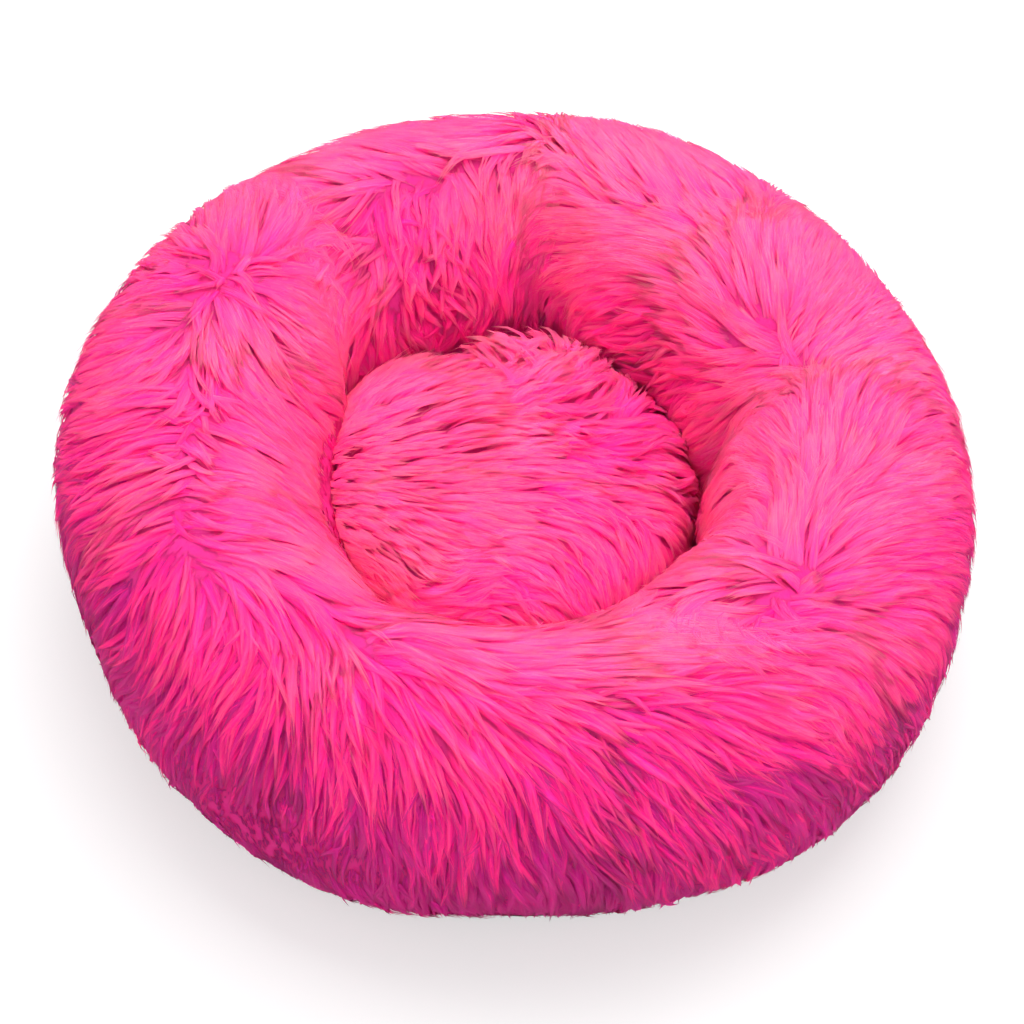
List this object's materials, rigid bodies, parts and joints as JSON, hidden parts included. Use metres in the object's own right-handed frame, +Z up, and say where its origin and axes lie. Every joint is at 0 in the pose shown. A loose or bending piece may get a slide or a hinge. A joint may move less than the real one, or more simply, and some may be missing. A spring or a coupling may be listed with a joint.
{
  "type": "donut pet bed",
  "caption": "Round donut pet bed in long-pile pink plush, with a plump ring bolster, a loose cushion in its well and a zipped padded base.",
  "frame": {"origin": "centre of the base on the floor it stands on", "axes": "+Z up out of the well, -Y towards the side that the picture shows in front, X along the zip in the base"},
  "size_m": [0.4966, 0.4966, 0.18],
  "materials": {
    "bolster_pile": "long-pile plush",
    "cushion_pile": "long-pile plush",
    "pink_cloth": "plain weave",
    "liner_cloth": "nonwoven",
    "fibre_fill": "loose hollow fibre",
    "base_cloth": "coarse weave with grip dots",
    "zip_cloth": "woven tape",
    "zip_coil": "moulded",
    "zip_metal": "satin"
  },
  "bodies": {
    "bed": {"bolster_plush": "bolster_pile", "bolster_liner": "liner_cloth", "bolster_fill": "fibre_fill", "base_panel_front": "base_cloth", "base_panel_back": "base_cloth", "base_binding": "zip_cloth", "well_floor_wadding": "fibre_fill", "well_floor_cloth": "pink_cloth", "zip_tape_front": "zip_cloth", "zip_tape_back": "zip_cloth", "zip_coil_front": "zip_coil", "zip_coil_back": "zip_coil", "zip_top_stop_front": "zip_metal", "zip_top_stop_back": "zip_metal", "zip_bottom_stop": "zip_metal"},
    "cushion": {"cushion_plush": "cushion_pile", "cushion_under_cloth": "pink_cloth", "cushion_fill": "fibre_fill"},
    "zip_slider": {"zip_slider": "zip_metal"},
    "zip_pull": {"zip_pull": "zip_metal"}
  },
  "joints": [
    {"name": "cushion_lift", "type": "slide", "parent": "bed", "child": "cushion", "axis": [0, 0, 1], "range_m": [0, 0.25]},
    {"name": "zip_slide", "type": "slide", "parent": "bed", "child": "zip_slider", "axis": [-1, 0, 0], "range_m": [0, 0.237]},
    {"name": "zip_pull_swing", "type": "hinge", "parent": "zip_slider", "child": "zip_pull", "pos_m": [0.1237, 0, 0.0032], "axis": [0, 1, 0], "range_deg": [-150, 0]}
  ]
}
